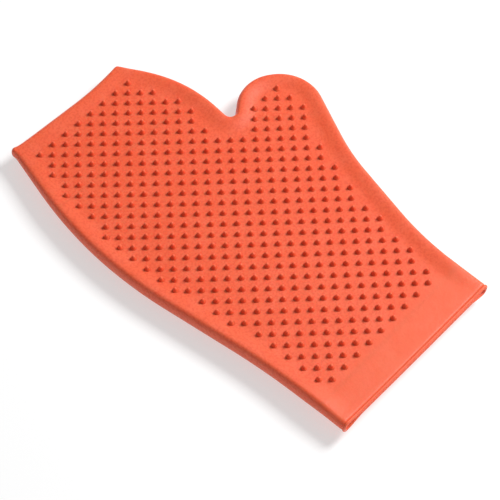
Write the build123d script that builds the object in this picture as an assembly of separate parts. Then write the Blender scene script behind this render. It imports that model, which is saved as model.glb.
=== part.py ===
from build123d import *
import math
import os

# A rubber grooming mitt, lying flat with its pinned face up.
# +Y runs from the cuff to the finger end, +X towards the thumb, +Z out of the pinned face.
# The origin is on the surface the mitt lies on, under the middle of its outline.

# --- driving dimensions, mm ---
PIN_PITCH = 10.0        # between pins along one row
ROW_STEP = 5.0          # between rows; every second row is shifted by half a pitch
WALL = 2.0              # rubber thickness
BODY_HEIGHT = 10.0      # over both faces, without pins and nubs
EDGE_RADIUS = 4.8       # rounding of the folded edges
RIM_WIDTH = 5.5         # width of the folded edge, from the outline to the flat faces

PIN_HEIGHT = 2.8
PIN_BASE_RADIUS = 1.6
PIN_TIP_RADIUS = 0.6

NUB_HEIGHT = 1.6
NUB_BASE_RADIUS = 3.2
NUB_TIP_RADIUS = 2.2
NUB_PITCH = 15.0
NUB_EDGE_ROOM = 1.9     # from a nub's middle to the edge of the pinned area
NUB_BEND_ROOM = 2.0     # from a nub's foot to a bend line
NUB_ROOT = 0.5          # a nub's cone reaches this far into its panel

CUFF_END_Y = -125.4     # mouth of the mitt
CUFF_LENGTH = 16.0      # plain sleeve between the bead and the pinned palm
BEAD_LENGTH = 3.0       # thickened lip at the mouth
BEAD_PROUD = 1.2
BEAD_ROUNDING = 0.96    # radius of the bead's outer edges

CURL_MAX = 45.0         # degrees, towards the pinned face
CURL_MIN = 15.0         # degrees, the other way
HINGE_GAP = 0.15        # on each side of a bend line

# The middle pin of the grid, and the lines that the mitt bends along
GRID_X = -9.3
GRID_Y = 9.1
FINGER_BASE_Y = GRID_Y + 10.5 * ROW_STEP
FINGER_TIP_Y = GRID_Y + 16.5 * ROW_STEP
THUMB_BEND = (GRID_X + GRID_Y + 95.0) / math.sqrt(2)    # distance of its line from the origin

THUMB_SIDE_X = 30.0      # the notch: the thumb lies past it

# --- heights worked out from them ---
BACK_Z = NUB_HEIGHT
FRONT_Z = BACK_Z + BODY_HEIGHT
BEND_Z = FRONT_Z - WALL          # a bend turns about the inside of the pinned skin

SLEEVE_START_Y = CUFF_END_Y + BEAD_LENGTH
PALM_START_Y = SLEEVE_START_Y + CUFF_LENGTH
FAR_Y = 140.0            # past either end
FLOOR_Z = -1.0           # below the nubs
SKY_Z = 20.0             # above the pins
WHOLE_WIDTH = 260.0      # wider than the mitt
OVERSHOOT = 1.0          # a cutting shape passes the surface that it cuts by this much

# --- the spaces that the fingers and the thumb swing in, along their bend lines ---
SPACE_LENGTH = 200.0
FINGERS_LEFT = -110.0
FINGERS_RIGHT = 37.5
THUMB_LEFT = -12.0
THUMB_RIGHT = 90.0

# --- the grids: rows counted from the middle pin, and places along a row ---
PIN_ROWS = range(-24, 22)
PIN_STEPS = range(-8, 9)
NUB_ROWS = range(-15, 16)
NUB_STEPS = range(-6, 7)

# --- the outline, from one side of the mouth round to the other: the corners of a line,
# --- each with the radius that rounds it. It runs on below the mouth, where it is cut off.
MOUTH_LEFT_X = -75.6
MOUTH_RIGHT_X = 43.0
LINE_START_Y = CUFF_END_Y - 30.0
FINGER_END_Y = 125.7
END_CORNER_RADIUS = 6.5
END_WALL_LENGTH = 9.0    # the end wall's piece reaches this far down both sides
OUTLINE_START = (MOUTH_RIGHT_X, LINE_START_Y)
OUTLINE_END = (MOUTH_LEFT_X, LINE_START_Y)
OUTLINE_CORNERS = [
    (43.0, -83.9, 178.0),        # thumb side of the wrist
    (60.4, -15.5, 136.0),        # foot of the thumb
    (95.1, 42.3, 26.0),          # thumb tip, outer half
    (52.1, 69.5, 24.0),          # thumb tip, inner half
    (33.5, 41.8, 3.0),           # notch between thumb and fingers
    (36.3, 88.6, 64.0),          # forefinger side
    (19.5, FINGER_END_Y, END_CORNER_RADIUS),
    (-22.3, 123.2, 300.0),       # slight dip along the finger end
    (-65.4, FINGER_END_Y, END_CORNER_RADIUS),
    (-89.9, 41.8, 260.0),        # little finger side of the palm
    (-75.6, -73.9, 400.0),       # little finger side of the wrist
]

# --- the area that carries pins, as corners of a polygon on the grid ---
PIN_FIELD = [
    (-62.3, -102.9), (24.7, -102.9), (27.7, -96.9), (32.2, -80.9), (34.2, -63.9),
    (37.2, -55.9), (38.2, -40.9), (42.2, -30.9), (47.2, -15.9), (52.7, -0.9),
    (62.7, 19.1), (67.7, 24.1), (67.7, 46.1), (42.7, 46.1), (38.2, 42.1),
    (29.2, 36.1), (22.2, 40.1), (18.2, 46.1), (18.2, 66.1), (22.2, 68.1),
    (22.2, 80.1), (17.7, 88.1), (17.2, 96.1), (12.7, 102.1), (12.7, 111.1),
    (-61.3, 111.1), (-61.3, 101.1), (-66.3, 95.1), (-70.8, 81.1), (-70.8, 51.1),
    (-76.3, 46.1), (-76.3, -7.9), (-70.8, -13.9), (-70.8, -42.9), (-66.3, -47.9),
    (-66.3, -97.9),
]


def outline():
    """The line round the mitt, open at the mouth."""
    corners = [(x, y) for x, y, radius in OUTLINE_CORNERS]
    radii = [radius for x, y, radius in OUTLINE_CORNERS]
    return FilletPolyline(OUTLINE_START, *corners, OUTLINE_END, radius=radii)


def across_line():
    """The plane square to the outline at its start: x runs outwards, y up."""
    return Plane(origin=(*OUTLINE_START, 0), x_dir=(1, 0, 0), z_dir=(0, -1, 0))


def flat_plate(low, high):
    """A flat plate of the mitt's plan between two heights, short of the folded edge: the whole
    plan less a strip that follows the outline."""
    plan = make_face(Wire([*outline().edges(), Edge.make_line(OUTLINE_END, OUTLINE_START)]))
    whole = Pos(0, 0, low) * extrude(plan, amount=high - low)
    strip = Pos(0, (low + high) / 2) * Rectangle(2 * RIM_WIDTH, high - low + 2 * OVERSHOOT)
    return whole - sweep(across_line() * strip, path=outline())


def fold_section():
    """The folded edge cut across, on the thumb side: a C open towards the hand, with the
    outline at 0. Each quarter round is an arc about the point (centre, upper or lower)."""
    centre = -EDGE_RADIUS
    upper = FRONT_Z - EDGE_RADIUS
    lower = BACK_Z + EDGE_RADIUS
    inner = EDGE_RADIUS - WALL
    walls = [
        Line((-RIM_WIDTH, FRONT_Z), (centre, FRONT_Z)),
        CenterArc((centre, upper), EDGE_RADIUS, 0, 90),
        Line((0, upper), (0, lower)),
        CenterArc((centre, lower), EDGE_RADIUS, 270, 90),
        Line((centre, BACK_Z), (-RIM_WIDTH, BACK_Z)),
        Line((-RIM_WIDTH, BACK_Z), (-RIM_WIDTH, BACK_Z + WALL)),
        Line((-RIM_WIDTH, BACK_Z + WALL), (centre, BACK_Z + WALL)),
        CenterArc((centre, lower), inner, 270, 90),
        Line((-WALL, lower), (-WALL, upper)),
        CenterArc((centre, upper), inner, 0, 90),
        Line((centre, FRONT_Z - WALL), (-RIM_WIDTH, FRONT_Z - WALL)),
        Line((-RIM_WIDTH, FRONT_Z - WALL), (-RIM_WIDTH, FRONT_Z)),
    ]
    return across_line() * make_face(Wire(walls))


def slab(low_y, high_y, low_z=FLOOR_Z, high_z=SKY_Z):
    """A box across the whole mitt."""
    middle = Pos(0, (low_y + high_y) / 2, (low_z + high_z) / 2)
    return middle * Box(WHOLE_WIDTH, high_y - low_y, high_z - low_z)


def bend_profile(height):
    """Half the room that a bend line needs at this height."""
    if height > BEND_Z:
        return HINGE_GAP + (height - BEND_Z) * math.tan(math.radians(CURL_MAX / 2))
    return HINGE_GAP + (BEND_Z - height) * math.tan(math.radians(CURL_MIN / 2))


def beyond(distance, side, left, right):
    """The space past a bend line, seen along the line: side is +1 for the moving part's own
    space and -1 for the larger space that is cut from the part that stays."""
    far = distance + SPACE_LENGTH
    heights = (FLOOR_Z, BEND_Z, FRONT_Z + OVERSHOOT)
    near = [(distance + side * bend_profile(z), z) for z in heights]
    section = make_face(Polyline(*near, (far, heights[-1]), (far, heights[0]), close=True))
    plane = Plane(origin=(left, 0, 0), x_dir=(0, 1, 0), z_dir=(1, 0, 0))
    return extrude(plane * section, amount=right - left)


def finger_space(line_y, side):
    """The space past a finger bend, which stops short of the thumb."""
    return beyond(line_y, side, FINGERS_LEFT, FINGERS_RIGHT)


def thumb_space(side):
    """The space past the thumb bend, which stops short of the fingers."""
    return Rot(0, 0, -45) * beyond(THUMB_BEND, side, THUMB_LEFT, THUMB_RIGHT)


def palm_part(shape):
    """The palm's share of a shape: above the sleeve, short of the bends."""
    above_sleeve = shape & slab(PALM_START_Y, FAR_Y)
    return above_sleeve - finger_space(FINGER_BASE_Y, -1) - thumb_space(-1)


def finger_base_part(shape):
    """The share between the two finger bends."""
    return (shape & finger_space(FINGER_BASE_Y, 1)) - finger_space(FINGER_TIP_Y, -1)


def finger_tip_part(shape):
    """The share past the second finger bend."""
    return shape & finger_space(FINGER_TIP_Y, 1)


def thumb_part(shape):
    """The share past the thumb bend."""
    return shape & thumb_space(1)


def inside_field(x, y):
    """True when a point lies within the pinned area: an odd number of sides to its right."""
    crossings = 0
    for (x1, y1), (x2, y2) in zip(PIN_FIELD, PIN_FIELD[1:] + PIN_FIELD[:1]):
        if (y1 > y) != (y2 > y) and x < x1 + (y - y1) * (x2 - x1) / (y2 - y1):
            crossings += 1
    return crossings % 2 == 1


def grid_points():
    """Every pin's place, row by row."""
    points = []
    for row in PIN_ROWS:
        for step in PIN_STEPS:
            x = GRID_X + (step + (row % 2) / 2) * PIN_PITCH
            y = GRID_Y + row * ROW_STEP
            if inside_field(x, y):
                points.append((x, y))
    return points


def region_of(x, y):
    """The part of the mitt that a point of the plan belongs to."""
    if (x + y) / math.sqrt(2) > THUMB_BEND and x > THUMB_SIDE_X:
        return "thumb"
    if y > FINGER_TIP_Y:
        return "finger_tip"
    if y > FINGER_BASE_Y:
        return "finger_base"
    return "palm"


def pins(region):
    """The pins of one region, each a separate blunt cone that stands on the pinned face."""
    middle = FRONT_Z + PIN_HEIGHT / 2
    cones = []
    for x, y in grid_points():
        if region_of(x, y) == region:
            cones.append(Pos(x, y, middle) * Cone(PIN_BASE_RADIUS, PIN_TIP_RADIUS, PIN_HEIGHT))
    return Compound(children=cones)


def clear_of_bends(x, y):
    """True when a nub keeps off every bend line."""
    room = NUB_BASE_RADIUS + NUB_BEND_ROOM
    thumb_gap = abs((x + y) / math.sqrt(2) - THUMB_BEND)
    off_fingers = abs(y - FINGER_BASE_Y) > room and abs(y - FINGER_TIP_Y) > room
    return off_fingers and (thumb_gap > room or x < THUMB_SIDE_X)


def whole_nub_fits(x, y):
    """True when a nub keeps off the edge of the area on all four sides."""
    r = NUB_EDGE_ROOM
    return all(inside_field(x + dx, y + dy) for dx, dy in ((r, 0), (-r, 0), (0, r), (0, -r)))


def nub_points():
    """The nubs' places on the back: a coarser staggered grid over the same area."""
    points = []
    for row in NUB_ROWS:
        for step in NUB_STEPS:
            x = GRID_X + (step + (row % 2) / 2) * NUB_PITCH
            y = GRID_Y + row * NUB_PITCH / 2
            if whole_nub_fits(x, y) and clear_of_bends(x, y):
                points.append((x, y))
    return points


def with_nubs(panel, region):
    """A back panel with its round nubs, one solid as it is moulded."""
    height = NUB_HEIGHT + NUB_ROOT
    nubs = []
    for x, y in nub_points():
        if region_of(x, y) == region:
            nubs.append(Pos(x, y, height / 2) * Cone(NUB_TIP_RADIUS, NUB_BASE_RADIUS, height))
    return panel + nubs


def save(name, shape):
    """Writes one node's solid or solids."""
    export_step(shape, f"parts/{name}.step")


def mouth_section(grow, length, start_y):
    """A length of the sleeve's outer shape, grown all round, from start_y towards the mouth."""
    width = MOUTH_RIGHT_X - MOUTH_LEFT_X + 2 * grow
    height = BODY_HEIGHT + 2 * grow
    middle = ((MOUTH_LEFT_X + MOUTH_RIGHT_X) / 2, start_y, BACK_Z + BODY_HEIGHT / 2)
    plane = Plane(origin=middle, x_dir=(1, 0, 0), z_dir=(0, -1, 0))
    return extrude(plane * RectangleRounded(width, height, EDGE_RADIUS + grow), amount=length)


def cuff_bead():
    """The thickened lip round the mouth, its outer edges rounded."""
    bead = mouth_section(BEAD_PROUD, BEAD_LENGTH, CUFF_END_Y + BEAD_LENGTH)
    ends = bead.faces().sort_by(Axis.Y)
    bead = fillet(ends[0].edges() + ends[-1].edges(), BEAD_ROUNDING)
    return bead - mouth_section(-WALL, FAR_Y, 0.0)


os.makedirs("parts", exist_ok=True)

front_skin = flat_plate(FRONT_Z - WALL, FRONT_Z)
back_skin = flat_plate(BACK_Z, BACK_Z + WALL)
folded_edge = sweep(fold_section(), path=outline())

regions = {
    "palm": palm_part,
    "finger_base": finger_base_part,
    "finger_tip": finger_tip_part,
    "thumb": thumb_part,
}
for region, cut in regions.items():
    save(f"{region}_front_panel", cut(front_skin))
    save(f"{region}_back_panel", with_nubs(cut(back_skin), region))
    save(f"{region}_pins", pins(region))

# The palm's folded edge falls into three: the two sides, and the short web at the notch
little_side, *thumb_sides = palm_part(folded_edge).solids().sort_by(Axis.X)
thumb_side, notch_web = sorted(thumb_sides, key=lambda solid: solid.center().Y)
save("palm_little_finger_side_wall", little_side)
save("palm_thumb_side_wall", thumb_side)
save("thumb_notch_web", notch_web)

little_side, fore_side = finger_base_part(folded_edge).solids().sort_by(Axis.X)
save("finger_base_little_finger_side_wall", little_side)
save("finger_base_forefinger_side_wall", fore_side)

tip_edge = finger_tip_part(folded_edge)
corner_y = FINGER_END_Y - END_WALL_LENGTH
little_side, fore_side = (tip_edge & slab(0, corner_y)).solids().sort_by(Axis.X)
save("finger_tip_little_finger_side_wall", little_side)
save("finger_tip_forefinger_side_wall", fore_side)
save("finger_tip_end_wall", tip_edge & slab(corner_y, FAR_Y))

save("thumb_edge_wall", thumb_part(folded_edge))

sleeve = mouth_section(0.0, CUFF_LENGTH, PALM_START_Y) - mouth_section(-WALL, FAR_Y, 0.0)
bead = cuff_bead()
middle_z = BACK_Z + BODY_HEIGHT / 2
for half, low, high in (("back", FLOOR_Z, middle_z), ("front", middle_z, SKY_Z)):
    save(f"cuff_{half}_half", sleeve & slab(-FAR_Y, FAR_Y, low, high))
    save(f"cuff_bead_{half}_half", bead & slab(-FAR_Y, FAR_Y, low, high))

print("pins", len(grid_points()), "nubs", len(nub_points()))
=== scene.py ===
# %% [markdown]
# # A rubber grooming mitt
# The mitt is one moulding of soft orange-red rubber: a flat pocket for the four fingers and the palm, a short pocket
# for the thumb, a plain cuff with a thin rolled lip, hundreds of small cones on one face and low round nubs on the
# other. The design model gives every size, and it is loaded first. Everything below is laid over it in the same frame:
# metres, the cuff towards -Y, the fingers towards +Y, the cones towards +Z.

# %% Load the frame
import math

import bmesh
import bpy
import numpy as np
from mathutils import Euler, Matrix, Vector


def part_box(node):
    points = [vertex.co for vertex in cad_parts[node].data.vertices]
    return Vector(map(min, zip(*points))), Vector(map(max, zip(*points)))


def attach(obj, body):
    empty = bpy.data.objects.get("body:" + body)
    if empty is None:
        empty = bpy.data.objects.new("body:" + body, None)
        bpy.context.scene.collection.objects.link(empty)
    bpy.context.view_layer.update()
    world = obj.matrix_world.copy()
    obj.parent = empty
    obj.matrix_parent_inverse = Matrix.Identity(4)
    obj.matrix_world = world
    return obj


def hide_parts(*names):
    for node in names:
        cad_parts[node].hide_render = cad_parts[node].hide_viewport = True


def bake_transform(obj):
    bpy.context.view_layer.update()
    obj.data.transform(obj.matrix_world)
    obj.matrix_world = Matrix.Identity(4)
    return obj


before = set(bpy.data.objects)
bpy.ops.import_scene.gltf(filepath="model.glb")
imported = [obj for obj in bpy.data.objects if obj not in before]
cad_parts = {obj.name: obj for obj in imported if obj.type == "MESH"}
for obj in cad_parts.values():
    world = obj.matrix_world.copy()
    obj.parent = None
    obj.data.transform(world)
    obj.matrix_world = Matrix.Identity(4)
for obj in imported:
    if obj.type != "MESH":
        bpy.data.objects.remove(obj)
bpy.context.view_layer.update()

# %% [markdown]
# ## Sizes of the mitt
# The working unit of the shapes is the millimetre, because the mitt is drawn in it, and the last step of each piece
# turns it into metres. The two faces, the ends and the height of the cones are read from the design model, so that the
# two can't drift apart. The rest are the maker's own. The plan is a run of straight lines with a tangent arc in each
# corner. It is given as corner points, each with the radius of its arc, from the cuff's thumb side round to the cuff's
# little-finger side.

# %% Sizes in millimetres
MM = 0.001


def box_mm(node):
    """Lowest and highest corner of a design node, in millimetres."""
    return [np.array(corner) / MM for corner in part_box(node)]


FRONT_Z = box_mm("palm_front_panel")[1][2]
PIN_TOP_Z = box_mm("palm_pins")[1][2]
MOUTH_Y = box_mm("cuff_bead_front_half")[0][1]
CUFF_SEAM_Y = box_mm("palm_front_panel")[0][1]
PIN_HEIGHT = PIN_TOP_Z - FRONT_Z
BACK_Z = 1.6              # outer back face; the nubs stand below it
WALL = 2.0                # thickness of the rubber
FOLD_WIDTH = 2.9          # from the outline to where the fold meets the faces
RIM_RISE = 1.7            # full margin inside the fold, above the front face
BACK_RIM_RISE = 2.2       # the same on the back, drawn in towards the front
RIM_RUN = 10.0            # over which the margin falls away to the flat of the face
TIP_TAPER = 2.0           # how much thinner the finger end is than the palm
CORNERS = [
    (41.3, MOUTH_Y, 0), (41.3, -84.9, 178), (59.9, -16.2, 136), (88.4, 39.9, 25.5), (57.6, 65.0, 23.3),
    (31.5, 46.6, 3), (36.6, 89.4, 84.6), (15.7, 123.6, 3), (-8.7, 121.6, 180), (-67.3, 123.6, 3),
    (-89.9, 44.5, 260), (-76.6, -71.1, 400), (-76.6, MOUTH_Y, 0),
]
NOTCH, FOREFINGER_CORNER, LITTLE_FINGER_CORNER = [np.array(CORNERS[i][:2]) for i in (5, 7, 9)]
print("front face at", FRONT_Z, "cones", PIN_HEIGHT, "high,", "mouth at", MOUTH_Y, "cuff seam at", CUFF_SEAM_Y)

# %% [markdown]
# ## The outline
# The outline could be a Bezier curve drawn by hand, but then its arcs would only be near the design's. Worked out from
# the corners it is exact: an arc of radius r in a corner that turns by t starts r * tan(t / 2) before the corner, and
# its centre is r to the side. The path is then measured off in even steps, so that any place on it is one number, its
# distance from the start.

# %% Rounded path
def unit(vectors):
    """Each vector divided by its length."""
    return vectors / np.linalg.norm(vectors, axis=-1, keepdims=True)


def turned(vectors, angles):
    """Plan vectors turned anticlockwise: (x cos a - y sin a, x sin a + y cos a)."""
    x, y = vectors[..., 0], vectors[..., 1]
    return np.stack([x * np.cos(angles) - y * np.sin(angles), x * np.sin(angles) + y * np.cos(angles)], -1)


def corner_arc(before, corner, after, radius):
    """Points of the tangent arc in one corner: the start point turned about the arc's centre by 0 to the whole turn."""
    a, b = unit(corner - before), unit(after - corner)
    turn = math.atan2(a[0] * b[1] - a[1] * b[0], a @ b)
    start = corner - a * radius * math.tan(abs(turn) / 2)
    centre = start + np.sign(turn) * radius * np.array([-a[1], a[0]])
    return centre + turned(start - centre, np.linspace(0, turn, 40))


def rounded_path(corners, step):
    """Straight runs and corner arcs, measured off in even steps along the path."""
    points = np.array([corner[:2] for corner in corners])
    arcs = [corner_arc(*points[i - 1:i + 2], corners[i][2]) for i in range(1, len(corners) - 1)]
    path = np.vstack([points[:1], *arcs, points[-1:]])
    along = np.append(0, np.cumsum(np.linalg.norm(np.diff(path, axis=0), axis=1)))
    even = np.linspace(0, along[-1], round(along[-1] / step) + 1)
    return even, np.stack([np.interp(even, along, path[:, i]) for i in (0, 1)], -1)


PATH_AT, PATH = rounded_path(CORNERS, 0.25)
PATH_INWARD = turned(unit(np.gradient(PATH, axis=0)), np.pi / 2)
print("outline is", round(PATH_AT[-1]), "mm long, box", PATH.min(0).round(1), PATH.max(0).round(1))

# %% [markdown]
# ## Places on the outline
# The pieces meet at the places where the mitt bends, so those places get names: the cuff seam, the thumb's root, the
# bottom of the notch, the finger seam and the two corners at the finger end. At the two corners the rubber is folded
# tighter than along the sides, so the fold's width shrinks there like a bell curve of the distance from the corner. The
# little-finger corner also stands out in a small ear, a bell curve again.

# %% Named places
FINGER_BASE_Y = 61.6      # knuckle bend
FINGER_TIP_Y = 91.6       # middle joint's bend
FINGER_SEAM_Y = (FINGER_BASE_Y + FINGER_TIP_Y) / 2
CORNER_TIGHTER, CORNER_REACH = 1.2, 7.0
EAR_LENGTH, EAR_REACH = 1.1, 2.6


def place(test, first=True):
    """Distance along the outline of the first or last point where the test turns true."""
    found = np.flatnonzero(np.diff(test.astype(int)))
    return PATH_AT[found[0 if first else -1] + 1]


def nearest(point):
    """Distance along the outline of its point nearest to a corner."""
    return PATH_AT[np.argmin(np.linalg.norm(PATH - point, axis=1))]


at_notch = nearest(NOTCH)
notch_bottom = PATH[np.argmin(np.linalg.norm(PATH - NOTCH, axis=1))]
at_root = place(PATH.sum(1) > notch_bottom.sum())
at_forefinger_corner, at_little_corner = nearest(FOREFINGER_CORNER), nearest(LITTLE_FINGER_CORNER)
at_cuff, at_cuff_far = place(PATH[:, 1] > CUFF_SEAM_Y), place(PATH[:, 1] > CUFF_SEAM_Y, first=False)
after_notch = PATH_AT > at_notch
at_seam = place(after_notch & (PATH[:, 1] > FINGER_SEAM_Y))
at_seam_far = place(PATH[:, 1] > FINGER_SEAM_Y, first=False)
print("notch bottom", notch_bottom.round(1), "root", at_root, "seam", at_seam, at_seam_far)


def edge(at):
    """Outline point, inward direction and fold width at distances along the outline."""
    points = np.stack([np.interp(at, PATH_AT, PATH[:, i]) for i in (0, 1)], -1)
    inward = unit(np.stack([np.interp(at, PATH_AT, PATH_INWARD[:, i]) for i in (0, 1)], -1))
    near = np.minimum(
        np.linalg.norm(points - FOREFINGER_CORNER, axis=1), np.linalg.norm(points - LITTLE_FINGER_CORNER, axis=1)
    )
    width = FOLD_WIDTH - CORNER_TIGHTER * np.exp(-((near / CORNER_REACH) ** 2))
    ear = EAR_LENGTH * np.exp(-((np.linalg.norm(points - LITTLE_FINGER_CORNER, axis=1) / EAR_REACH) ** 2))
    return points - inward * ear[:, None], inward, width[:, None]


corner_widths = edge(np.array([at_forefinger_corner, at_little_corner]))[2]
print("fold", FOLD_WIDTH, "mm wide, at the two finger corners", corner_widths.ravel().round(2))

# %% [markdown]
# ## Heights of the two faces
# A rubber mitt is never quite flat. Its front face is a shallow dish, it is a little fuller along the folded edge, and
# it grows thinner towards the finger end. At the cuff the upper lip lies straight and the lower one comes up to it,
# which leaves only a small drop-shaped gap inside each fold. A cloth simulation could find such a shape, but rubber
# keeps the shape of its mould, so each effect is one smooth function of the place in plan, and they add up.

# %% Height functions
RIM_SAMPLES = PATH[::6]
LIP_GAP = 0.3             # between the two lips at the middle of the mouth
FOLD_GAP, FOLD_GAP_RUN = 3.4, 12.0


def smooth(value):
    """0 below 0, 1 above 1, and 3v^2 - 2v^3 between them."""
    v = np.clip(value, 0, 1)
    return v * v * (3 - 2 * v)


def rim_distance(plan):
    """Shortest distance in plan to the folded edge."""
    flat = plan.reshape(-1, 2)
    squared = (flat**2).sum(1)[:, None] + (RIM_SAMPLES**2).sum(1) - 2 * flat @ RIM_SAMPLES.T
    return np.sqrt(np.maximum(squared.min(1), 0)).reshape(plan.shape[:-1])


def dish(plan):
    """A shallow bowl: second powers of the distances from the mitt's middle, in units of 50 mm."""
    u, v = (plan[..., 0] + 19.3) / 50, (plan[..., 1] - 9.1) / 50
    return 0.553 * u * u + 0.159 * u * v + 0.143 * v * v


def rim_share(plan):
    """1 along the crest of the rim, falling smoothly to 0 at the flat of the face."""
    return smooth(1 - (rim_distance(plan) - FOLD_WIDTH) / RIM_RUN)


def mouth_share(plan, start=92.0):
    """0 over the palm, rising smoothly to 1 at the mouth."""
    return smooth((-start - plan[..., 1]) / (-MOUTH_Y - start))


def front_height(plan):
    """Outer front face: its plane, the dish, and the full margin, which is calmer at the mouth and the finger end."""
    calm = 1 - 0.75 * mouth_share(plan, 100.0) - 0.55 * smooth((plan[..., 1] - 80) / 35)
    return FRONT_Z + dish(plan) + RIM_RISE * rim_share(plan) * calm


def back_height(plan):
    """Outer back face: its plane, the dish, a rise to the finger end, and the rise of the lower lip to the upper."""
    taper = TIP_TAPER * smooth((plan[..., 1] - 30) / 95)
    rise = BACK_Z + dish(plan) + taper + BACK_RIM_RISE * rim_share(plan)
    lips = 2 * WALL + LIP_GAP + FOLD_GAP * smooth(1 - (rim_distance(plan) - FOLD_WIDTH) / FOLD_GAP_RUN)
    share = mouth_share(plan)
    return rise * (1 - share) + (front_height(plan) - lips) * share


middle = np.array([[-19.3, 9.1], [-20.0, MOUTH_Y]])
print("front and back at the middle and at the mouth:", front_height(middle).round(2), back_height(middle).round(2))

# %% [markdown]
# ## Skin built from grids
# The skin is a wall 2 mm thick. Its faces are patches stretched between four edges, and a fold joins them round the
# outline. A patch here is the classic one between four curves: add the two ways of ruling it, then take away the plane
# through its four corners. The fold is half of an ellipse carried along the outline. Both take a number called proud,
# the distance outside the outer surface, so the inner surface is the same formula at minus the wall's thickness.

# %% Patch and fold formulas
FOLD_ANGLES = np.linspace(-np.pi / 2, np.pi / 2, 17)


def spread(count, start=1.0, end=1.0):
    """Numbers from 0 to 1 whose steps shrink to these shares of the usual step near the start and the end."""
    steps = np.interp(np.linspace(0, 1, count), [0, 0.18, 0.82, 1], [start, 1, 1, end])
    return np.append(0, np.cumsum(steps)) / steps.sum()


def inset(at):
    """The line where the fold meets the faces: the outline moved inwards by the fold's width."""
    points, inward, width = edge(at)
    return points + inward * width


def patch(bottom, top, left, right, across, up):
    """(1-v) bottom + v top + (1-u) left + u right - the mix of the four corners, for u across and v up."""
    u, v = across[None, :, None], up[:, None, None]
    ruled = (1 - v) * bottom[None] + v * top[None] + (1 - u) * left[:, None] + u * right[:, None]
    low = (1 - u) * bottom[0] + u * bottom[-1]
    high = (1 - u) * top[0] + u * top[-1]
    return ruled - (1 - v) * low - v * high


def with_height(plan, height):
    """Plan points with their heights as a third coordinate."""
    return np.concatenate([plan, height[..., None]], -1)


def faces(plan, proud):
    """The front and the back of the skin over a patch of the plan."""
    return [with_height(plan, front_height(plan) + proud), with_height(plan, back_height(plan) - proud)]


def fold(at, proud):
    """Half an ellipse across the edge at each place: in by w - (w + p) cos a, and up by (h + p) sin a."""
    points, inward, width = edge(at)
    line = points + inward * width
    high, low = front_height(line)[:, None], back_height(line)[:, None]
    pull = width - (width + proud) * np.cos(FOLD_ANGLES)
    plan = points[:, None] + inward[:, None] * pull[..., None]
    return with_height(plan, (high + low) / 2 + ((high - low) / 2 + proud) * np.sin(FOLD_ANGLES))


def straight(start, end, share):
    """Points on the straight line between two points."""
    return start + (end - start) * share[:, None]


notch_fold = fold(np.array([at_notch]), 0.0)[0]
print("fold at the notch runs from", notch_fold[0].round(1), "to", notch_fold[-1].round(1))

# %% [markdown]
# A closed shell needs its outer and inner surface joined wherever the piece ends. At each seam the loop of the outer
# surface and the loop of the inner one become the two sides of a narrow ring. The grids of a piece are laid down
# separately and welded where their points coincide, which keeps every formula simple.
#
# The lower half of the fold is coloured darker. That isn't the rubber's own colour: it stands in for the shade under a
# fold that lies on a table, which a floor this bright washes out. It could be a band of height alone, but that would
# tint the back face as well, so each point of the skin carries a share made of two things, how low it is and how near
# the edge.

# %% Mesh helpers
WELD = 2e-6               # metres
SHARP_ANGLE = 50          # degrees; a steeper edge is drawn sharp
LOW_FOLD, LOW_FOLD_RUN = 9.0, 6.0
NEAR_EDGE, NEAR_EDGE_RUN = 6.0, 4.0


def ring(loop_of):
    """A strip that closes the wall at a seam, between the outer loop and the inner one."""
    return np.stack([loop_of(0.0), loop_of(-WALL)])


def grid_faces(grid, first):
    """Four-sided faces between neighbouring points of a grid whose points start at number first."""
    index = first + np.arange(grid.shape[0] * grid.shape[1]).reshape(grid.shape[:2])
    return np.stack([index[:-1, :-1], index[1:, :-1], index[1:, 1:], index[:-1, 1:]], -1).reshape(-1, 4)


def mesh_piece(name, corners, polygons, weld=0.0, sharp_angle=None):
    """A mesh object in metres, facing outwards, smooth except at edges sharper than the angle, if one is given."""
    mesh = bpy.data.meshes.new(name)
    mesh.from_pydata((corners * MM).tolist(), [], polygons)
    work = bmesh.new()
    work.from_mesh(mesh)
    if weld:
        bmesh.ops.remove_doubles(work, verts=work.verts, dist=weld)
    bmesh.ops.recalc_face_normals(work, faces=work.faces)
    open_edges = sum(not e.is_manifold for e in work.edges)
    work.to_mesh(mesh)
    work.free()
    mesh.polygons.foreach_set("use_smooth", np.ones(len(mesh.polygons), bool))
    if sharp_angle:
        mesh.set_sharp_from_angle(angle=math.radians(sharp_angle))
    piece = bpy.data.objects.new(name, mesh)
    bpy.context.scene.collection.objects.link(piece)
    print(f"{name}: {len(mesh.polygons)} faces, {open_edges} open edges")
    return piece


def points_mm(mesh):
    """Every corner of a mesh, in millimetres."""
    points = np.empty(3 * len(mesh.vertices))
    mesh.vertices.foreach_get("co", points)
    return points.reshape(-1, 3) / MM


def skin_piece(name, grids):
    """One piece of the skin from its grids, each point with its share of the darker band low on the fold."""
    starts = np.cumsum([0] + [g.shape[0] * g.shape[1] for g in grids])
    corners = np.vstack([g.reshape(-1, 3) for g in grids])
    quads = np.vstack([grid_faces(g, first) for g, first in zip(grids, starts)])
    piece = mesh_piece(name, corners, quads.tolist(), WELD, SHARP_ANGLE)
    at = points_mm(piece.data)
    is_low = smooth((LOW_FOLD - at[:, 2]) / LOW_FOLD_RUN)
    share = is_low * smooth((NEAR_EDGE - rim_distance(at[:, :2])) / NEAR_EDGE_RUN)
    piece.data.attributes.new("low_fold", "FLOAT", "POINT").data.foreach_set("value", share.astype(np.float32))
    print(f"{name}: {int((share > 0.5).sum())} of {len(share)} points lie low on the fold")
    return piece


seam_ring = ring(lambda proud: fold(np.array([at_root]), proud)[0])
print("a wall's ring is", np.linalg.norm(seam_ring[0] - seam_ring[1], axis=1).round(2).max(), "mm across at most")

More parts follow.
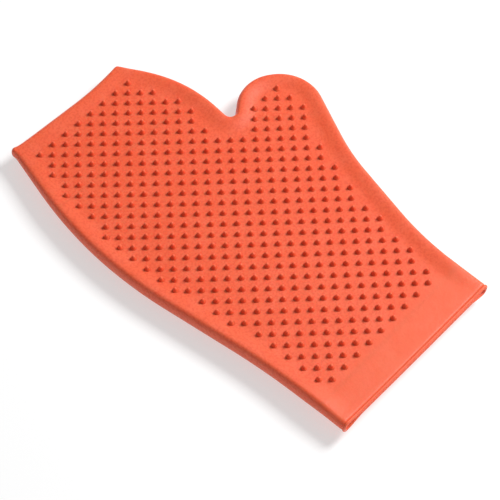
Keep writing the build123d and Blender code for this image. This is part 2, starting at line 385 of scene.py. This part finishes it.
# %% [markdown]
# ## Palm and finger base
# This is the biggest piece: the palm from the cuff seam up, and the base of the fingers up to the finger seam. The two
# sides are measured off at the same heights, so that the rows of the patch run straight across. Along the thumb's root
# there is no fold, because the thumb's own skin goes on from there.

# %% Palm skin
ACROSS = spread(54, 0.3, 0.3)


def at_height(y, low, high):
    """Places on one stretch of the outline with given y."""
    at = np.linspace(low, high, 2000)
    line = np.interp(at, PATH_AT, PATH[:, 1])
    order = np.argsort(line)
    return np.interp(y, line[order], at[order])


flank = at_cuff + (at_root - at_cuff) * spread(50)
forefinger_side = at_notch + (at_seam - at_notch) * spread(20, 0.3, 1)
root_share = spread(24)
root_line = straight(inset(np.array([at_root]))[0], inset(np.array([at_notch]))[0], root_share)
palm_right = np.vstack([inset(flank), root_line[1:-1], inset(forefinger_side)])
right_y = np.concatenate([
    edge(flank)[0][:, 1],
    (edge(flank[-1:])[0][0, 1] + (notch_bottom[1] - edge(flank[-1:])[0][0, 1]) * root_share)[1:-1],
    edge(forefinger_side)[0][:, 1],
])
little_side = at_height(right_y, at_seam_far, at_cuff_far)
palm_left = inset(little_side)
palm_up = (right_y - right_y[0]) / (right_y[-1] - right_y[0])
palm_plan = patch(
    straight(palm_left[0], palm_right[0], ACROSS),
    straight(palm_left[-1], palm_right[-1], ACROSS),
    palm_left, palm_right, ACROSS, palm_up,
)


def section_loop(row, at_right, at_left):
    """The loop across the mitt at a seam: the front row, the right fold, the back row and the left fold."""
    def loop(proud):
        """The same loop at a distance outside the outer surface."""
        front, back = faces(row, proud)
        right, left = fold(np.array([at_right]), proud)[0], fold(np.array([at_left]), proud)[0]
        return np.vstack([front, right[::-1], back[::-1], left])
    return loop


def root_loop(proud):
    """The loop across the thumb's root: the root line on both faces, and the folds at its two ends."""
    front, back = faces(root_line, proud)
    right, left = fold(np.array([at_root]), proud)[0], fold(np.array([at_notch]), proud)[0]
    return np.vstack([front, left[::-1], back[::-1], right])


def palm_grids(proud):
    """Both faces of the palm and its three folds."""
    return faces(palm_plan, proud) + [fold(flank, proud), fold(forefinger_side, proud), fold(little_side, proud)]


cuff_loop = section_loop(palm_plan[0], at_cuff, little_side[0])
finger_loop = section_loop(palm_plan[-1], forefinger_side[-1], little_side[-1])
palm_skin = skin_piece(
    "palm_skin", palm_grids(0.0) + palm_grids(-WALL) + [ring(cuff_loop), ring(finger_loop), ring(root_loop)]
)

# %% [markdown]
# ## Finger tip
# The finger tip is a patch too, between the finger seam, the two sides and the finger end, with a fold round three of
# its sides. The steps are shorter towards the two corners, where the outline turns sharply.

# %% Finger tip skin
tip_right = at_seam + (at_forefinger_corner - at_seam) * spread(26, 1, 0.2)
tip_left = little_side[-1] + (at_little_corner - little_side[-1]) * spread(26, 1, 0.2)
tip_end = at_little_corner + (at_forefinger_corner - at_little_corner) * spread(54, 0.18, 0.18)
tip_plan = patch(
    palm_plan[-1], inset(tip_end), inset(tip_left), inset(tip_right), ACROSS, spread(26, 1, 0.2)
)


def tip_grids(proud):
    """Both faces of the finger tip, its two side folds and its end fold."""
    return faces(tip_plan, proud) + [fold(tip_right, proud), fold(tip_left, proud), fold(tip_end, proud)]


tip_skin = skin_piece("finger_tip_skin", tip_grids(0.0) + tip_grids(-WALL) + [ring(finger_loop)])

# %% [markdown]
# ## Thumb
# The thumb's patch starts on the root line and ends on the round tip. The tip's arc is its far side, and the two flanks
# are its other sides.

# %% Thumb skin
thumb_length = at_notch - at_root
thumb_right = at_root + thumb_length * 0.34 * spread(24)
thumb_left = at_notch - thumb_length * 0.30 * spread(24, 0.25, 1)
thumb_top = thumb_right[-1] + (thumb_left[-1] - thumb_right[-1]) * spread(24)
thumb_plan = patch(
    root_line, inset(thumb_top), inset(thumb_right), inset(thumb_left), root_share, spread(24)
)


def thumb_grids(proud):
    """Both faces of the thumb and the folds of its flanks and its tip."""
    return faces(thumb_plan, proud) + [fold(thumb_right, proud), fold(thumb_left, proud), fold(thumb_top, proud)]


thumb_skin = skin_piece("thumb_skin", thumb_grids(0.0) + thumb_grids(-WALL) + [ring(root_loop)])

# %% [markdown]
# ## Cuff
# The cuff is a sleeve whose wall ends in a thin rolled lip behind a fine groove. The whole wall is one profile: out
# along the outer side, down into the groove, round the lip, and back along the inner side. The profile is carried round
# the loop of the sleeve, so the lip follows the mouth as it closes.

# %% Cuff
LIP_RADIUS = 1.2
MOUTH_LEAN = 2.0
LIP_CENTRE_Y = MOUTH_Y + LIP_RADIUS
groove = np.array([
    (3.1, 0.0), (2.6, -0.04), (2.3, -0.2), (2.05, -0.34), (1.85, -0.2), (1.65, 0.12),
]) + [MOUTH_Y, 0]
lip_angles = np.linspace(np.radians(70), -np.pi / 2, 12)
lip = np.stack([
    LIP_CENTRE_Y - LIP_RADIUS * np.cos(lip_angles), LIP_RADIUS * np.sin(lip_angles) + LIP_RADIUS - WALL
], -1)
sleeve_out = straight(np.array([CUFF_SEAM_Y, 0.0]), groove[0], np.linspace(0, 1, 9))[:-1]
sleeve_in = straight(lip[-1], np.array([CUFF_SEAM_Y, -WALL]), np.linspace(0, 1, 10))[1:]
cuff_profile = np.vstack([sleeve_out, groove, lip, sleeve_in])


def cuff_grid(profile):
    """The sleeve's loop at each point of the profile: y sets the place and proud the distance outside the skin."""
    y, proud = profile[:, 0], profile[:, 1]
    rows_right = at_height(y, 0, at_cuff)
    rows_left = at_height(y, at_cuff_far, PATH_AT[-1])
    rows_right[[0, -1]], rows_left[[0, -1]] = at_cuff, little_side[0]
    right, left = inset(rows_right), inset(rows_left)
    plan = left[:, None] + (right - left)[:, None] * ACROSS[None, :, None]
    front, back = faces(plan, proud[:, None])
    fold_right, fold_left = fold(rows_right, proud[:, None]), fold(rows_left, proud[:, None])
    grid = np.concatenate([front, fold_right[:, ::-1][:, 1:], back[:, ::-1][:, 1:], fold_left[:, 1:]], 1)
    share = ((y - CUFF_SEAM_Y) / (MOUTH_Y - CUFF_SEAM_Y))[:, None]
    share[[0, -1]] = 0
    grid[..., 1] += MOUTH_LEAN * share * (right[0, 0] - grid[..., 0]) / (right[0, 0] - left[0, 0])
    return grid


cuff = skin_piece("cuff", [cuff_grid(cuff_profile), ring(cuff_loop)])

# %% [markdown]
# ## Cones and nubs
# The design model knows where each cone and nub stands, so the places are read from its meshes: the corners at the very
# tips, rounded to the grid they stand on. A cone is a profile spun round its axis: a small fillet at its foot, a
# straight flank and a rounded tip. All the cones of a region are worked out at once, by adding the array of places to
# the array of one cone's corners. With hundreds of them, each has only a few dozen faces.

# %% Places of the cones and nubs
def tip_places(nodes, height, pitch, origin):
    """Grid places under the corners of these nodes that lie at the given height."""
    found = []
    for node in nodes:
        points = points_mm(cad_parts[node].data)
        found.append(points[np.abs(points[:, 2] - height) < 0.05, :2])
    steps = np.unique(np.round((np.vstack(found) - origin) / pitch), axis=0)
    return steps * pitch + origin


GRID_ORIGIN = np.array([-9.3, 9.1])
PIN_STEP, NUB_STEP = 5.0, 7.5
pin_places = tip_places(
    ["palm_pins", "finger_base_pins", "finger_tip_pins", "thumb_pins"], PIN_TOP_Z, PIN_STEP, GRID_ORIGIN
)
nub_places = tip_places(
    ["palm_back_panel", "finger_base_back_panel", "finger_tip_back_panel", "thumb_back_panel"],
    0.0, NUB_STEP, GRID_ORIGIN,
)
print(len(pin_places), "cones and", len(nub_places), "nubs")

# %% Cones and nubs
PIN_PROFILE = np.array([(2.3, -0.25), (1.75, 0.08), (1.45, 0.45), (1.08, 1.65), (0.9, 2.3), (0.5, 2.68)])
NUB_PROFILE = np.array([(3.7, -0.25), (3.15, 0.25), (2.55, 1.2), (2.1, 1.52)])
PIN_SIDES, NUB_SIDES = 10, 12
ROOT = 0.3                # how far a spun shape reaches into the skin under it


def spun(places, profile, sides, height_of, direction, tip):
    """A profile spun about an upright axis at each place: rings of corners, and one corner at each end."""
    angle = np.arange(sides) * 2 * np.pi / sides
    around = np.stack([np.cos(angle), np.sin(angle)], -1)
    rings = profile[:, 0][:, None, None] * around
    plan = places[:, None, None] + rings
    base = height_of(places)
    height = base[:, None, None] + direction * profile[:, 1][:, None] + np.zeros(plan.shape[:-1])
    body = with_height(plan, height).reshape(len(places), -1, 3)
    foot = with_height(places, base + direction * (profile[0, 1] - ROOT))[:, None]
    top = with_height(places, base + direction * tip)[:, None]
    return np.concatenate([body, foot, top], 1)


def spun_faces(rings, sides, first):
    """Faces of the spun shapes whose corners start at the numbers first: walls of four corners, and fans of three."""
    here = np.arange(sides)
    after = (here + 1) % sides
    level = (np.arange(rings - 1) * sides)[:, None]
    walls = np.stack([level + here, level + after, level + sides + after, level + sides + here], -1).reshape(-1, 4)
    foot, top, last = rings * sides, rings * sides + 1, (rings - 1) * sides
    fans = np.vstack([
        np.stack([np.full(sides, foot), after, here], -1),
        np.stack([last + here, last + after, np.full(sides, top)], -1),
    ])
    return sum(((block + first[:, None, None]).reshape(-1, block.shape[1]).tolist() for block in (walls, fans)), [])


def spun_piece(name, places, profile, sides, height_of, direction, tip):
    """One mesh of all the spun shapes of a region."""
    corners = spun(places, profile, sides, height_of, direction, tip)
    first = np.arange(len(places)) * corners.shape[1]
    return mesh_piece(name, corners.reshape(-1, 3), spun_faces(len(profile), sides, first))


def regions(places):
    """The places of each region: thumb beyond the root, finger tip beyond the finger seam, then base and palm."""
    x, y = places.T
    on_thumb = (x > 30) & (x + y > notch_bottom.sum() - 1)
    on_tip = ~on_thumb & (y > FINGER_SEAM_Y)
    on_base = ~on_thumb & ~on_tip & (y > FINGER_BASE_Y)
    on_palm = ~(on_thumb | on_tip | on_base)
    return {
        "palm": places[on_palm], "finger_base": places[on_base],
        "finger_tip": places[on_tip], "thumb": places[on_thumb],
    }


pins = {
    body: spun_piece(f"{body}_cones", where, PIN_PROFILE, PIN_SIDES, front_height, 1, PIN_HEIGHT)
    for body, where in regions(pin_places).items()
}
nubs = {
    body: spun_piece(f"{body}_nubs", where, NUB_PROFILE, NUB_SIDES, back_height, -1, BACK_Z)
    for body, where in regions(nub_places).items() if len(where)
}

# %% [markdown]
# ## Shader sums in plain Python
# A rubber finish is a few patterns added together. Written as nodes one by one that takes pages, so a small class wraps
# a socket: an expression such as 1 - mask adds the Math node by itself. Every other node comes from one method, which
# takes its type, its settings, and what goes into its sockets.

# %% Sockets and nodes
class Value:
    """A number that changes over the surface. Sums, differences and products with it add Math nodes."""

    def __init__(self, finish, socket):
        self.finish, self.socket = finish, socket

    def _math(self, operation, first, second):
        return self.finish.node("ShaderNodeMath", {"operation": operation}, {0: first, 1: second})

    def __add__(self, other):
        return self._math("ADD", self, other)

    def __sub__(self, other):
        return self._math("SUBTRACT", self, other)

    def __rsub__(self, other):
        return self._math("SUBTRACT", other, self)

    def __mul__(self, other):
        return self._math("MULTIPLY", self, other)

    __radd__, __rmul__ = __add__, __mul__


class Finish:
    """A material whose nodes are added by one method."""

    def __init__(self, name):
        self.material = bpy.data.materials.new(name)
        self.material.use_nodes = True
        self.tree = self.material.node_tree
        self.tree.nodes.clear()

    def node(self, kind, settings=None, sockets=None, out=0):
        """Adds a node, sets its settings, fills or links its sockets, and gives back one of its outputs."""
        made = self.tree.nodes.new(kind)
        for key, setting in (settings or {}).items():
            if key == "stops":
                ramp = made.color_ramp.elements
                while len(ramp) < len(setting):
                    ramp.new(1.0)
                for element, (position, colour) in zip(ramp, setting):
                    element.position, element.color = position, colour
            else:
                setattr(made, key, setting)
        for key, content in (sockets or {}).items():
            if isinstance(content, Value):
                self.tree.links.new(content.socket, made.inputs[key])
            else:
                made.inputs[key].default_value = content
        return Value(self, made.outputs[out]) if len(made.outputs) else None

    def noise(self, where, scale, detail=3.0):
        """Soft random patches with about this many to the metre."""
        return self.node(
            "ShaderNodeTexNoise", {"noise_dimensions": "3D"}, {"Vector": where, "Scale": scale, "Detail": detail}
        )

    def between(self, pattern, low, high):
        """Black where the pattern is below low, white where it is above high, and grey between them."""
        return self.node("ShaderNodeValToRGB", {"stops": [(low, (0, 0, 0, 1)), (high, (1, 1, 1, 1))]}, {0: pattern})

    def mix(self, share, first, second):
        """A colour between two colours."""
        return self.node("ShaderNodeMix", {"data_type": "RGBA"}, {0: share, 6: first, 7: second}, out=2)

    def done(self, shader):
        """Links the shader to the material's output."""
        self.node("ShaderNodeOutputMaterial", {}, {"Surface": shader})
        print(f"{self.material.name}: {len(self.tree.nodes)} nodes")
        return self.material


SUMS = ("__add__", "__radd__", "__sub__", "__rsub__", "__mul__", "__rmul__")
print("sums that a socket understands:", [name for name in SUMS if hasattr(Value, name)])

# %% [markdown]
# ## Rubber
# Soft filled rubber is a satin surface over a slightly clear body: light goes in a little way, and comes out redder, so
# its shaded sides stay warm. The colour wanders a few percent where the mix flowed in the mould, a pale bloom lies on
# it in patches, and the mould leaves a very fine grain. The field of cones is speckled more coarsely than the smooth
# cuff, so the speckle fades out over the cuff's seam. The cones get the same rubber with a deeper red painted at their
# feet: painted shade for the shaded lower sides of the cones.

# %% Rubber finishes
RUBBER = (0.87, 0.132, 0.050, 1.0)
RUBBER_DEEP = (0.86, 0.108, 0.036, 1.0)
BLOOM = (0.88, 0.168, 0.082, 1.0)
SPECKLE = (0.74, 0.070, 0.022, 1.0)
FOLD_SHADE = (0.26, 0.020, 0.034, 1.0)
# Painted shade: the deeper red at the cones' feet stands for the shade on their lower sides.
CONE_FOOT_SHADE = (0.72, 0.070, 0.018, 1.0)


def rubber(name, colour, deep, bloom_share, grain, foot=None):
    """Satin rubber: flow marks, bloom, speckle and painted shade low on the fold in the colour, grain in the bump,
    uneven gloss.

    With a foot colour, painted shade deepens the rubber from the tips of the cones down to their feet.
    """
    finish = Finish(name)
    where = finish.node("ShaderNodeTexCoord", out=3)
    flow = finish.between(finish.noise(where, 34.0, 4.0), 0.35, 0.7)
    patches = finish.between(finish.noise(where, 90.0, 5.0), 0.45, 0.75)
    base = finish.mix(flow * 0.45, colour, deep)
    base = finish.mix(patches * bloom_share, base, BLOOM)
    fine = finish.noise(where, 760.0, 2.0)
    speckle = finish.node("ShaderNodeMapRange", {}, {0: fine, 1: 0.44, 2: 0.64, 3: 0.0, 4: 0.52})
    along = finish.node("ShaderNodeSeparateXYZ", {}, {0: where}, out=1)
    field = finish.node("ShaderNodeMapRange", {"interpolation_type": "SMOOTHSTEP"}, {
        0: along, 1: (CUFF_SEAM_Y - 4) * MM, 2: (CUFF_SEAM_Y + 16) * MM, 3: 0.2, 4: 1.0,
    })
    base = finish.mix(speckle * field, base, SPECKLE)
    # Painted shade low on the fold, where the bright floor washes out the fold's own shade.
    low = finish.node("ShaderNodeAttribute", {"attribute_name": "low_fold"}, out=2)
    base = finish.mix(low * 0.88, base, FOLD_SHADE)
    if foot:
        # Painted shade: the cones are darkest at their feet and take the plain rubber towards their tips.
        height = finish.node("ShaderNodeSeparateXYZ", {}, {0: where}, out=2)
        painted_foot_shade = finish.node("ShaderNodeMapRange", {"interpolation_type": "SMOOTHSTEP"}, {
            0: height, 1: (FRONT_Z + 0.5) * MM, 2: (FRONT_Z + 2.9) * MM, 3: 0.0, 4: 1.0,
        })
        base = finish.mix(painted_foot_shade, foot, base)
    coarse = finish.noise(where, 260.0, 3.0)
    normal = finish.node(
        "ShaderNodeBump", {}, {"Strength": grain, "Distance": 0.00012, "Height": fine * 0.6 + coarse * 0.8}
    )
    roughness = 0.46 + patches * 0.12 + (fine - 0.5) * 0.10
    shader = finish.node("ShaderNodeBsdfPrincipled", {}, {
        "Base Color": base, "Roughness": roughness, "Normal": normal,
        "Subsurface Weight": 0.35, "Subsurface Radius": (1.0, 0.16, 0.07), "Subsurface Scale": 0.0022,
        "Specular IOR Level": 0.42, "Sheen Weight": 0.06, "Sheen Roughness": 0.4,
    })
    return finish.done(shader)


mitt_rubber = rubber("mitt_rubber_satin", RUBBER, RUBBER_DEEP, 0.35, 0.9)
pin_rubber = rubber("cone_rubber_satin", RUBBER, RUBBER_DEEP, 0.12, 0.25, CONE_FOOT_SHADE)
skins = [palm_skin, tip_skin, thumb_skin, cuff]
for piece in skins + list(nubs.values()):
    piece.data.materials.append(mitt_rubber)
for piece in pins.values():
    piece.data.materials.append(pin_rubber)
print("finishes on", len(skins) + len(nubs) + len(pins), "pieces")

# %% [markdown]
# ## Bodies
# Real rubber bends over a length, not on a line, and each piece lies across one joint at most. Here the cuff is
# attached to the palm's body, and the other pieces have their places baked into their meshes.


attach(cuff, "palm")
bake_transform(palm_skin)
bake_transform(tip_skin)
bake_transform(thumb_skin)
for group in (pins, nubs):
    for body, piece in group.items():
        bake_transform(piece)

# %% Which design nodes each piece stands for
STANDS_FOR = [
    (cuff, ["cuff_front_half", "cuff_back_half", "cuff_bead_front_half", "cuff_bead_back_half"]),
    (palm_skin, [
        "palm_front_panel", "palm_back_panel", "palm_little_finger_side_wall", "palm_thumb_side_wall",
        "thumb_notch_web", "finger_base_front_panel", "finger_base_back_panel",
        "finger_base_little_finger_side_wall", "finger_base_forefinger_side_wall",
    ]),
    (tip_skin, [
        "finger_tip_front_panel", "finger_tip_back_panel", "finger_tip_little_finger_side_wall",
        "finger_tip_forefinger_side_wall", "finger_tip_end_wall",
    ]),
    (thumb_skin, ["thumb_front_panel", "thumb_back_panel", "thumb_edge_wall"]),
] + [(piece, [f"{body}_pins"]) for body, piece in pins.items()]
for piece, nodes in STANDS_FOR:
    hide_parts(*nodes)
print("pieces stand for", sum(len(nodes) for _, nodes in STANDS_FOR), "of", len(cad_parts), "design nodes")

# %% [markdown]
# ## Floor, light and camera
# The mitt lies on a plain white table. One soft light stands high on the thumb's side, so each cone is bright on that
# side and throws a short shadow to the other, and an even white surround fills the rest. The camera looks down from
# beyond the cuff's little-finger side.

# %% Floor
def floor_finish():
    """Plain matt white, with a trace of unevenness."""
    finish = Finish("table_white")
    where = finish.node("ShaderNodeTexCoord", out=3)
    share = finish.noise(where, 3.0) * 0.3
    colour = finish.mix(share, (0.52, 0.52, 0.52, 1.0), (0.50, 0.50, 0.50, 1.0))
    return finish.done(finish.node("ShaderNodeBsdfPrincipled", {}, {
        "Base Color": colour, "Roughness": 0.9, "Emission Color": (1.0, 1.0, 1.0, 1.0), "Emission Strength": 0.50,
    }))


FLOOR_SIZE = 8            # metres, well past what any view shows

bpy.ops.mesh.primitive_plane_add(size=FLOOR_SIZE)
floor = bpy.context.object
floor.name = "floor"
floor.data.materials.append(floor_finish())
print("floor", tuple(floor.dimensions), "m at height", floor.location.z)

# %% Light
def soft_light(name, azimuth, elevation, distance, size, power):
    """A square area light that faces the mitt, its direction in degrees: azimuth from +X, elevation from the floor."""
    a, e = math.radians(azimuth), math.radians(elevation)
    light = bpy.data.lights.new(name, "AREA")
    light.size, light.energy = size, power
    lamp = bpy.data.objects.new(name, light)
    bpy.context.scene.collection.objects.link(lamp)
    lamp.location = (
        distance * math.cos(e) * math.cos(a), distance * math.cos(e) * math.sin(a), distance * math.sin(e)
    )
    lamp.rotation_euler = (math.pi / 2 - e, 0, a + math.pi / 2)
    return lamp


key = soft_light("key", azimuth=-22, elevation=48, distance=1.4, size=0.5, power=22.0)
world = bpy.data.worlds.new("surround")
world.use_nodes = True
world.node_tree.nodes["Background"].inputs["Color"].default_value = (1.0, 1.0, 1.0, 1.0)
world.node_tree.nodes["Background"].inputs["Strength"].default_value = 0.31
bpy.context.scene.world = world
bpy.context.scene.view_settings.view_transform = "Standard"
print("key light at", [round(c, 2) for c in key.location], "m,", key.data.energy, "W")

# %% Camera
camera_data = bpy.data.cameras.new("camera")
camera_data.sensor_width, camera_data.lens = 36.0, 117.9
camera = bpy.data.objects.new("camera", camera_data)
bpy.context.scene.collection.objects.link(camera)
camera.location = (-0.41419, -0.31788, 0.7384)
camera.rotation_euler = Euler([math.radians(a) for a in (33.908, -2.295, -48.728)])
bpy.context.scene.camera = camera
print("camera at", tuple(camera.location), "lens", camera_data.lens)

# %% [markdown]
# ## Finish
# The last step prints the lowest point of each piece of the mitt, in millimetres.

# %% Finish
for piece in skins + list(pins.values()) + list(nubs.values()):
    low = min(corner[2] for corner in piece.bound_box)
    print(piece.name, "lowest point", round(low / MM, 2), "mm")
